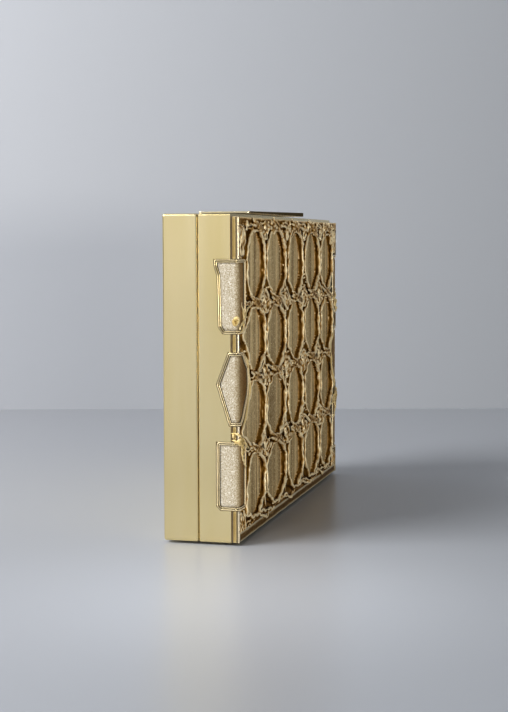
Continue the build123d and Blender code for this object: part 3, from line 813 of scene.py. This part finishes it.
def glitter_cloth(name, dark, light, speck, streaks, grain, front_leg_shade=None):
    """Metallic woven cloth: fine threads, specks of glitter, and soft upright streaks; a ramp can
    add painted shade across the front legs.
    """
    paint = Paint(name)
    place = paint.add("TexCoord", "Object", {})
    specks = paint.add("TexVoronoi", "Color", {"Vector": place, "Scale": SPECK_SCALE})
    upright_noise = paint.noise(1.0, stretch=STREAKS)
    mottle = paint.noise(grain, 2.0)
    blend = paint.mix(streaks, mottle, upright_noise, data_type="FLOAT")
    tint = paint.ramp(blend, [(0.38, dark), (0.62, light)])
    flash = paint.ramp(specks, [(0.72, (0, 0, 0)), (0.95, (1, 1, 1))])
    colour = paint.mix(flash, tint, (*speck, 1.0), data_type="RGBA")
    # Painted shade: the cloth darkens past the corner onto the front
    if front_leg_shade:
        shade = paint.ramp(past_corner(paint), front_leg_shade)
        colour = paint.mix(1.0, colour, shade, data_type="RGBA", blend_type="MULTIPLY")
    paint.shade(Base_Color=colour, Metallic=0.1, Roughness=0.6, Specular_IOR_Level=0.1)
    paint.bump(mottle, 0.5, 0.0002)
    return paint.made


def woven_lining(name, dark, light):
    """Fine satin weave with crossing threads and slight unevenness."""
    paint = Paint(name)
    threads = [paint.noise(1.0, 2.0, stretch) for stretch in THREADS]
    weave = paint.maths("MULTIPLY", paint.maths("ADD", *threads), 0.5)
    paint.shade(Base_Color=paint.ramp(weave, [(0.36, dark), (0.64, light)]), Roughness=0.5,
                Sheen_Weight=0.3)
    paint.bump(weave, 0.4, 0.0002)
    return paint.made


def plain_board(name, colour):
    """Matt card with faint clouds."""
    paint = Paint(name)
    cloud = paint.noise(160.0, 4.0)
    stops = [(0.3, scaled(colour, 0.85, 0.85, 0.85)), (0.7, colour)]
    paint.shade(Base_Color=paint.ramp(cloud, stops), Roughness=0.8)
    paint.bump(cloud, 0.2, 0.0003)
    return paint.made


# ---- Cloth behind the openwork ----

# Outward places of the cloth's face between the cells and of its back, and its swell in a cell
CLOTH_OUT = -2.38
CLOTH_SWELL = 0.3
CLOTH_BACK_OUT = -2.69
# The cloth's edges, in from the sides, the foot and the top of the front
CLOTH_SIDE = 1.3
CLOTH_FOOT = 0.6
CLOTH_TOP = 1.5


def cloth_height(s, z):
    """Cloth stretched over the board, swelling a little into each cell, with soft upright folds."""
    swell = 0.0
    for left, right in COLUMNS:
        for low, high in ROWS:
            across = (s - (left + right) / 2) / (0.56 * (right - left))
            up = (z - (low + high) / 2) / (0.56 * (high - low))
            swell = max(swell, 1 - across ** 4 - up ** 4)
    swell = min(1.0, 2.2 * max(0.0, swell))
    folds = 0.22 * wander(s * 0.5, z * 0.03, 1.0) + 0.12 * wander(s * 1.4, z * 0.05, 2.0)
    return CLOTH_OUT + CLOTH_SWELL * swell + folds * swell


def front_cloth():
    """One sheet behind the whole openwork."""
    columns = np.linspace(CLOTH_SIDE, WIDTH - CLOTH_SIDE, 300)
    rows = np.linspace(CLOTH_FOOT, HEIGHT - CLOTH_TOP, 90)
    front = [unroll(s, z, cloth_height(s, z))[0] for s in columns for z in rows]
    back = [unroll(s, z, CLOTH_BACK_OUT)[0] for s in columns for z in rows]
    builder = Builder()
    builder.slab(front, back, len(rows))
    return builder.build("front_cloth")


# ---- Corner windows ----

# Outer edges of the bezels in u, z: negative u lies on the end wall
WINDOW_OUTLINES = {
    "top": ((-9.5, 103.6), (-9.4, 101.0), (-8.3, 97.5), (-7.9, 79.0), (-6.2, 76.4),
            (5.0, 76.4), (8.8, 80.4), (8.8, 103.6)),
    "middle": ((-4.2, 70.0), (-8.7, 58.2), (-4.4, 44.4), (-3.8, 43.0), (2.0, 43.0),
               (4.8, 44.8), (11.6, 53.0), (13.2, 58.0), (12.0, 64.0), (4.8, 70.0)),
    "bottom": ((-8.8, 37.4), (-8.8, 13.6), (-7.2, 12.0), (8.2, 12.0), (8.8, 37.4)),
}
# How far a window's corners are rounded
OUTLINE_ROUND = 1.6
LOOP_POINTS = 220
# Cross-section of a bezel: distance in from its outer edge, and height above the wall
BEZEL_SECTION = (
    (0.15, -0.85), (0.15, 0.02), (0.24, 0.24), (0.42, 0.34), (0.60, 0.24), (0.70, 0.0),
    (0.78, -0.32), (0.88, -0.06), (1.00, 0.14), (1.14, 0.18), (1.28, 0.06), (1.34, -0.2),
    (1.34, -0.85),
)
# Steps of the section that hold dark patina and painted shade: both foot lines and the groove
BEZEL_DARK = (0, 5, 6, 10, 11, 12)
# Faces of a bezel nearer to the front than this have the openwork's metal
BEZEL_FRONT_DEPTH = 0.35
PAD_INSET = 1.3
PAD_CORNER_RADIUS = 1.8
PAD_EDGE_OUT = -0.55
PAD_CROWN = 0.4
PAD_BACK_OUT = -0.85
PAD_GRID = (72, 150)
# Width of the rounded edge, then the gathers: where they lie, their reach, pitch and depth
PAD_SHOULDER = 1.4
GATHER_U = 0.3
GATHER_REACH = 1.5
GATHER_PITCH = 0.62
GATHER_DEPTH = 0.055
# Keeps the pad's first and last columns clear of its outline's very tips
PAD_TIP = 0.12


def window_loop(name):
    """Evenly spaced points round a bezel's outer edge."""
    return resample(rounded(WINDOW_OUTLINES[name], OUTLINE_ROUND), LOOP_POINTS, True)


def window_bezel(name, side):
    """Two beads with a groove between them, swept round one window and over the corner."""
    loop = window_loop(name)
    away = outward(loop)
    builder = Builder()
    rings = []
    for (u, z), (du, dz) in zip(loop, away):
        ring = []
        for inset, out in BEZEL_SECTION:
            point, _ = unroll(u - inset * du, z - inset * dz, out, side, PAD_CORNER_RADIUS)
            ring.append(tuple(point))
        rings.append(ring)
    builder.ring_strip(rings, True)
    bezel = builder.build(f"bezel_{END_NAMES[side]}_{name}")
    for polygon in bezel.data.polygons:
        place = polygon.index % len(BEZEL_SECTION)
        on_front = polygon.center.y < (FRONT_Y + BEZEL_FRONT_DEPTH) * MM
        # Foot lines and groove: near-black patina with painted shade
        polygon.material_index = 2 if place in BEZEL_DARK else int(on_front)
    return bezel


def outline_spans(loop, u):
    """Lowest and highest z of a closed outline at one u."""
    heights = []
    for (u0, z0), (u1, z1) in zip(loop, np.roll(loop, -1, axis=0)):
        if min(u0, u1) <= u <= max(u0, u1) and u0 != u1:
            heights.append(z0 + (z1 - z0) * (u - u0) / (u1 - u0))
    return min(heights), max(heights)


def window_pad(name, side):
    """Crowned cloth pad that fills one bezel and turns the corner, gathered at the fold."""
    loop = window_loop(name)
    loop = loop - outward(loop) * PAD_INSET
    first, last = loop[:, 0].min(), loop[:, 0].max()
    columns = np.linspace(first + PAD_TIP, last - PAD_TIP, PAD_GRID[0])
    rows = PAD_GRID[1]
    builder = Builder()
    front, back = [], []
    for u in columns:
        low, high = outline_spans(loop, u)
        from_side = min(u - first, last - u)
        for k in range(rows + 1):
            z = low + (high - low) * k / rows
            inward = max(0.0, min(from_side, z - low, high - z))
            out = PAD_EDGE_OUT + PAD_CROWN * (1 - (1 - min(1.0, inward / PAD_SHOULDER)) ** 2)
            fold = np.exp(-((u - GATHER_U) / GATHER_REACH) ** 2)
            gather = sin(2 * pi * (z / GATHER_PITCH + 0.35 * wander(u * 0.8, z * 0.6)))
            out += GATHER_DEPTH * fold * gather + 0.05 * wander(u * 0.45, z * 0.3, 3.0)
            front.append(unroll(u, z, out, side, PAD_CORNER_RADIUS)[0])
            back.append(unroll(u, z, PAD_BACK_OUT, side, PAD_CORNER_RADIUS)[0])
    builder.slab(front, back, rows + 1)
    return builder.build(f"window_cloth_{END_NAMES[side]}_{name}")


# ---- Corner rails and borders ----

# Stretches of the corner edge between the windows, as low and high z
RAIL_STRETCHES = ((0.4, 12.0), (37.4, 43.0), (70.0, 76.4), (103.6, 118.7))
# Plan sections: distance in from the end wall, and distance back from the front
RAIL_SECTION = (
    (0.06, 0.14), (0.2, 0.03), (1.0, 0.0), (1.0, 0.76), (0.1, 0.76), (0.0, 0.66), (0.0, 0.24),
)
BAND_SECTION = (
    (0.22, 1.3), (1.0, 1.24), (1.0, 2.44), (0.3, 2.44), (0.16, 2.3), (0.12, 1.9), (0.14, 1.44),
)
GROOVE_SECTION = ((0.5, 0.74), (1.0, 0.74), (1.0, 2.66), (0.5, 2.66))
# Borders above and below the openwork, as low z, high z and how far out their faces lie
TOP_BORDER = (115.6, 118.8, -0.7)
FOOT_BORDER = (0.3, 3.6, -0.35)


def upright(builder, section, stretch, side, seed):
    """Slightly uneven bar with a constant plan section."""
    low, high = stretch
    rings = []
    for z in np.linspace(low, high, max(4, int((high - low) * 2))):
        ring = []
        for x, y in section:
            x = x + 0.05 * wander(z * 0.5, y * 2, seed)
            place = Vector((END_X + x, FRONT_Y + y, BASE_Z + z))
            if side > 0:
                place.x = -place.x
            ring.append(tuple(place))
        rings.append(ring)
    builder.ring_strip(rings, False)


def corner_rail(side):
    """Bright edge rail, a darker band behind it on the end wall, and the groove under both."""
    builder = Builder()
    starts = []
    for section, seed in ((RAIL_SECTION, 1.0), (BAND_SECTION, 2.0), (GROOVE_SECTION, 3.0)):
        starts.append(len(builder.faces))
        for stretch in RAIL_STRETCHES:
            upright(builder, section, stretch, side, seed)
    rail = builder.build(f"corner_rail_{END_NAMES[side]}")
    for polygon in rail.data.polygons:
        polygon.use_smooth = False
        polygon.material_index = sum(polygon.index >= start for start in starts) - 1
    return rail


def bark_border(name, z_low, z_high, crest, seed, relief=1.0):
    """Border across the front with a cast, bark-like face."""
    builder = Builder()
    rings = []
    for s in np.arange(1.1, WIDTH - 1.0, 0.8):
        ring = [tuple(unroll(s, z_low, FLOOR_OUT)[0])]
        for t in np.linspace(0, 1, 7):
            z = z_low + (z_high - z_low) * t
            bark = 0.35 * wander(s * 0.12, t * 2.5, seed) + 0.2 * wander(s * 0.5, t * 6, seed)
            out = crest + relief * bark
            ring.append(tuple(unroll(s, z, out)[0]))
        ring.append(tuple(unroll(s, z_high, FLOOR_OUT)[0]))
        rings.append(ring)
    builder.ring_strip(rings, False)
    return builder.build(name)


# ---- Linings ----

# Thickness of a lining at its edges, and what its padding adds on average
LINING_THICKNESS = 0.36
LINING_PUFF = 0.12
# Between the lining and the wall behind it
LINING_GAP = 0.02
LINING_STEP = 2.2
# How far the valance runs down behind the lining's upper edge
VALANCE_LAP = 0.6


def lined_plate(builder, origin, along, up, inward, lengths, seed):
    """Panel of padded cloth with soft puckers on its inner face and rounded-in edges."""
    columns, rows = (max(4, int(length / LINING_STEP)) for length in lengths)
    outer, inner = [], []
    for i in range(columns + 1):
        for k in range(rows + 1):
            a, b = i / columns, k / rows
            edge = min(1.0, 9 * min(a, 1 - a, b, 1 - b))
            pucker = wander(a * lengths[0] * 0.09, b * lengths[1] * 0.09, seed)
            puff = LINING_PUFF * edge * (1 + pucker)
            point = origin + along * (a * lengths[0]) + up * (b * lengths[1])
            outer.append(point + inward * LINING_GAP)
            inner.append(point + inward * (LINING_THICKNESS + puff))
    builder.slab(outer, inner, rows + 1)


def lining(node, name, opens, valance=None):
    """Cloth over the floor and the four sides of one half; opens is +1 or -1 along y.

    A valance node adds a strip that runs on above the mouth."""
    low, high = (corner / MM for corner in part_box(node))
    builder = Builder()
    x, y, z = Vector((1, 0, 0)), Vector((0, opens, 0)), Vector((0, 0, 1))
    floor_y = low.y if opens > 0 else high.y
    wide, deep, tall = high.x - low.x, high.y - low.y, high.z - low.z
    floor = Vector((low.x, floor_y, low.z))
    lined_plate(builder, floor, x, z, y, (wide, tall), 1.0)
    lined_plate(builder, floor, x, y, z, (wide, deep), 2.0)
    lined_plate(builder, floor + z * tall, x, y, -z, (wide, deep), 3.0)
    lined_plate(builder, floor, z, y, x, (tall, deep), 4.0)
    lined_plate(builder, floor + x * wide, z, y, -x, (tall, deep), 5.0)
    area = wide * tall + 2 * deep * (wide + tall)
    flat = Vector((wide + 2 * deep, tall + 2 * deep))
    if valance:
        strip_low, strip_high = (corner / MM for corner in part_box(valance))
        lengths = strip_high.x - strip_low.x, strip_high.z - strip_low.z + VALANCE_LAP
        lined_plate(builder, strip_low - z * VALANCE_LAP, x, z, -y * opens, lengths, 6.0)
        area += lengths[0] * lengths[1]
        flat.y += lengths[1]
    piece = builder.build(name)
    fuse(piece, LINING_VOXEL)
    return piece, tuple(flat * MM), area * MM * MM


# ---- Camera, stage and light ----

# Camera solved from the corners of the box in the photograph: metres, degrees, millimetres
EYE = Vector((-0.58754, -0.14954, 0.10976))
YAW, PITCH, ROLL = 14.72, -4.44, -0.13
LENS = 73.0
# Distances from the camera in metres: the backdrop, and both ends of the floor
BACKDROP_DISTANCE = 0.957
FLOOR_NEAR, FLOOR_FAR = -1.6, 3.0
STAGE_HALF_WIDTH = 2.2
# The backdrop's right-hand end, to the side of the camera, and its height
WALL_END = -0.26
WALL_TOP = 1.8
# Floor tones are almost even; the wall tones hold painted shade, darker to the right of the set
FLOOR_TONES = ((0.0, (0.39, 0.41, 0.445)), (1.0, (0.395, 0.405, 0.435)))
WALL_SHADE_TONES = ((0.0, (0.315, 0.335, 0.37)), (1.0, (0.51, 0.53, 0.575)))
# How far down the floor looks for a part of the bag
SEEN_BELOW = 0.05
WORLD_STRENGTH = 0.12
KEY_POWER = 17.0
CARD_POWER = 8.7
FILL_POWER = 11.0
POOL_POWER = 19.0
POOL_ANGLE = 11.0


def add_object(name, data, place, target=None):
    """Puts a camera or a light in the scene, turned towards a point if one is given."""
    added = bpy.data.objects.new(name, data)
    added.location = place
    if target:
        aim = Vector(target) - Vector(place)
        added.rotation_euler = aim.to_track_quat("-Z", "Y").to_euler()
    bpy.context.scene.collection.objects.link(added)
    return added


def make_camera():
    """Camera at the photograph's angle."""
    data = bpy.data.cameras.new("camera")
    data.lens = LENS
    data.clip_start = 0.01
    camera = add_object("camera", data, EYE)
    camera.rotation_euler = (radians(90 + PITCH), radians(-ROLL), radians(YAW - 90))
    bpy.context.scene.camera = camera


def stage_paint(name, tones, roughness):
    """Matt paint that shades from the right of the set to the left: a little on the floor, and on
    the wall as painted shade, darker to the right.
    """
    paint = Paint(name)
    across = paint.span(paint.axis("Y"), -0.12, 0.32)
    paint.shade(Base_Color=paint.ramp(across, tones), Roughness=roughness, Specular_IOR_Level=0.45)
    paint.bump(paint.noise(900.0, 2.0), 0.02, 0.0001)
    return paint


def make_clear(paint, share):
    """Mixes a stage paint with clear, by a share from 0 to 1."""
    clear = paint.add("BsdfTransparent", "BSDF", {})
    opaque = paint.shader.outputs["BSDF"]
    mixed = paint.add("MixShader", "Shader", {"Fac": share, 1: opaque, 2: clear})
    paint.feed(paint.nodes["Material Output"], {"Surface": mixed})
    return paint.made


def seen_from_behind(paint):
    """1 on the side of a stage surface that faces away from the bag."""
    return paint.add("NewGeometry", "Backfacing", {})


def clear_over_parts(paint):
    """Makes the floor clear from underneath, and straight above a part that passes below it.

    The open half swings below the plane that the shut bag stands on. A low view still sees
    the floor cut off its ends. At rest nothing is below the floor, so it is solid."""
    reach = {"Distance": SEEN_BELOW}
    below = paint.add("AmbientOcclusion", "AO", reach, inside=True, samples=8)
    share = paint.span(below, 0.55, 0.45)
    return make_clear(paint, paint.maths("MAXIMUM", share, seen_from_behind(paint)))


def clear_from_behind(paint):
    """Leaves the far side of the backdrop clear, so that it hides nothing from other views."""
    return make_clear(paint, seen_from_behind(paint))


def make_stage():
    """Floor that meets an upright backdrop square to the camera."""
    ahead = Vector((cos(radians(YAW)), sin(radians(YAW)), 0))
    across = Vector((-ahead.y, ahead.x, 0))
    start = Vector((EYE.x, EYE.y, 0))
    side, wall = STAGE_HALF_WIDTH, BACKDROP_DISTANCE
    corners = ((FLOOR_NEAR, -side, 0), (FLOOR_NEAR, side, 0),
               (FLOOR_FAR, side, 0), (FLOOR_FAR, -side, 0),
               (wall, side, 0), (wall, side, WALL_TOP), (wall, WALL_END, WALL_TOP),
               (wall, WALL_END, 0))
    builder = Builder()
    for distance, sideways, height in corners:
        point = start + ahead * distance + across * sideways + Vector((0, 0, height))
        builder.points.append(tuple(point / MM))
    builder.faces = [(0, 1, 2, 3), (4, 5, 6, 7)]
    stage = builder.build("floor")
    for polygon in stage.data.polygons:
        polygon.use_smooth = False
        polygon.material_index = polygon.index
        if polygon.normal.dot(Vector((0, 0, 1)) - ahead) < 0:
            polygon.flip()
    stage.data.materials.append(clear_over_parts(stage_paint("floor_paint", FLOOR_TONES, 0.3)))
    # Wall: painted shade across it
    stage.data.materials.append(clear_from_behind(stage_paint("wall_paint", WALL_SHADE_TONES, 0.6)))


def area_light(name, place, target, size, power, colour=(1, 1, 1)):
    """Soft panel that faces a point."""
    data = bpy.data.lights.new(name, "AREA")
    data.shape = "RECTANGLE"
    data.size, data.size_y = size
    data.energy = power
    data.color = colour
    add_object(name, data, place, target)


def pool_of_light():
    """Soft round pool on the floor before the near end of the bag."""
    data = bpy.data.lights.new("pool", "SPOT")
    data.energy = POOL_POWER
    data.spot_size = radians(POOL_ANGLE)
    data.spot_blend = 1.0
    data.shadow_soft_size = 0.05
    add_object("pool", data, (-0.42, 0.02, 0.9), (-0.155, -0.032, 0.0))


def make_lights():
    """Dim cool surroundings, a key light, two panels and the pool on the floor."""
    world = bpy.data.worlds.new("studio")
    bpy.context.scene.world = world
    world.use_nodes = True
    background = world.node_tree.nodes["Background"]
    background.inputs["Color"].default_value = (0.90, 0.94, 1.0, 1)
    background.inputs["Strength"].default_value = WORLD_STRENGTH
    area_light("key", (-0.61, 0.73, 0.85), (0, 0, 0.03), (0.7, 0.7), KEY_POWER)
    area_light("camera_side", (-1.9, 0.75, 0.55), (0, 0, 0.1), (2.6, 1.5), CARD_POWER)
    area_light("front_fill", (-1.2, -1.0, 0.1), (0, 0, 0.06), (1.0, 0.18), FILL_POWER,
               (1.0, 0.95, 0.86))
    pool_of_light()


def add_piece(piece, materials, body, slot, *nodes):
    """Gives a piece its materials and its body, and hides the CAD nodes it stands for."""
    for made in materials:
        piece.data.materials.append(made)
    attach(piece, body)
    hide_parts(*nodes)


def paint_nodes(names, made):
    """Gives CAD nodes that keep their own mesh a material."""
    for name in names:
        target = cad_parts[name]
        target.data.materials.clear()
        target.data.materials.append(made)


def build():
    """The whole scene: stage, replaced pieces, and materials on the CAD nodes that stay."""
    make_camera()
    make_stage()
    make_lights()
    gold = polished_gold("polished_gold", (0.92, 0.77, 0.41), 0.2)
    # Thumb bar: painted dark reflection on its faces towards the front
    bar = polished_gold("bar_gold", (0.86, 0.76, 0.50), 0.18, (0.075, 0.055, 0.028))
    bright = polished_gold("bezel_gold", (0.80, 0.68, 0.42), 0.3)
    edge = polished_gold("edge_gold", (0.72, 0.62, 0.42), 0.3)
    # Parting seam: painted shade, near black in the gap between the halves
    seam_shade = polished_gold("seam_shade_gold", (0.09, 0.05, 0.014), 0.5)
    brass = polished_gold("plain_brass", (0.72, 0.60, 0.34), 0.3)
    steel = polished_gold("steel", (0.6, 0.6, 0.6), 0.25)
    # Antique golds: patina with painted shade in the hollows and painted highlight on the ridges
    aged_and_shaded = antique_gold("antique_gold", 0.34, PATINA_AND_SHADE, 0.1)
    cast = antique_gold("cast_gold", 0.3, CAST_GOLD)
    band = antique_gold("band_gold", 0.12, toned(CAST_GOLD, 0.6, 0.6, 0.6))
    # Near black: patina with painted shade for grooves and foot lines
    groove = antique_gold("bezel_groove", 0.0, toned(PATINA_AND_SHADE, 0.15, 0.15, 0.15), 0.05)
    olive = antique_gold("foot_gold", 0.2, toned(PATINA_AND_SHADE, 0.6, 0.64, 0.7), 0.2)
    cloth = glitter_cloth("front_cloth", (0.23, 0.15, 0.06), (0.74, 0.57, 0.30),
                          (0.86, 0.72, 0.44), 0.8, 900.0)
    window_cloth = glitter_cloth("window_cloth", (0.36, 0.285, 0.175), (0.66, 0.60, 0.48),
                                 (0.84, 0.80, 0.70), 0.1, 2300.0, TURNED_SHADE)
    lining_cloth = woven_lining("lining_cloth", (0.40, 0.31, 0.19), (0.56, 0.46, 0.31))
    board = plain_board("backing_board", (0.40, 0.33, 0.26))

    add_piece(make_lattice(), [aged_and_shaded], "front_half", "antique_gold", "front_lattice")
    for name in WINDOW_OUTLINES:
        for side, word in END_NAMES.items():
            pad = window_pad(name, side)
            add_piece(pad, [window_cloth], "front_half", "glitter_fabric",
                      f"window_pad_{word}_{name}")
            add_piece(window_bezel(name, side), [bright, aged_and_shaded, groove], "front_half",
                      "bezel_gold", f"window_bezel_{word}_{name}")
    for side in END_NAMES:
        add_piece(corner_nuggets(side), [cast], "front_half", "antique_gold", "lattice_nuggets")
    for side, word in END_NAMES.items():
        # The rail's groove takes the near-black patina with painted shade
        add_piece(corner_rail(side), [edge, band, groove], "front_half", "bezel_gold",
                  f"corner_strips_{word}")
    sheet = front_cloth()
    add_piece(sheet, [cloth], "front_half", "glitter_fabric", "front_fabric")
    for body, opens, extra in (("back", -1, ["back_lining_valance"]), ("front", 1, [])):
        piece, flat, area = lining(f"{body}_lining", f"lining_{body}", opens, *extra)
        add_piece(piece, [lining_cloth], f"{body}_half", "lining_fabric", f"{body}_lining",
                  *extra)
    top = bark_border("border_top", *TOP_BORDER, 5.0)
    add_piece(top, [aged_and_shaded], "front_half", "antique_gold", "top_border")
    foot = bark_border("border_bottom", *FOOT_BORDER, 6.0, 0.45)
    add_piece(foot, [olive], "front_half", "antique_gold", "bottom_border")

    paint_nodes(("back_shell", "front_shell", "clasp_hook", "clasp_keeper"), gold)
    paint_nodes(("clasp_bar",), bar)
    # The closing lip carries the seam's painted shade
    paint_nodes(("closing_lip",), seam_shade)
    paint_nodes(("front_board",), board)
    paint_nodes(("hinge_pin", "clasp_pin", "clasp_spring"), steel)
    paint_nodes(("feet_back", "feet_front", "hinge_leaf_back", "hinge_leaf_front",
                 "hinge_rivets_back", "hinge_rivets_front", "clasp_mount"), brass)


bpy.context.scene.view_settings.view_transform = "Standard"
build()
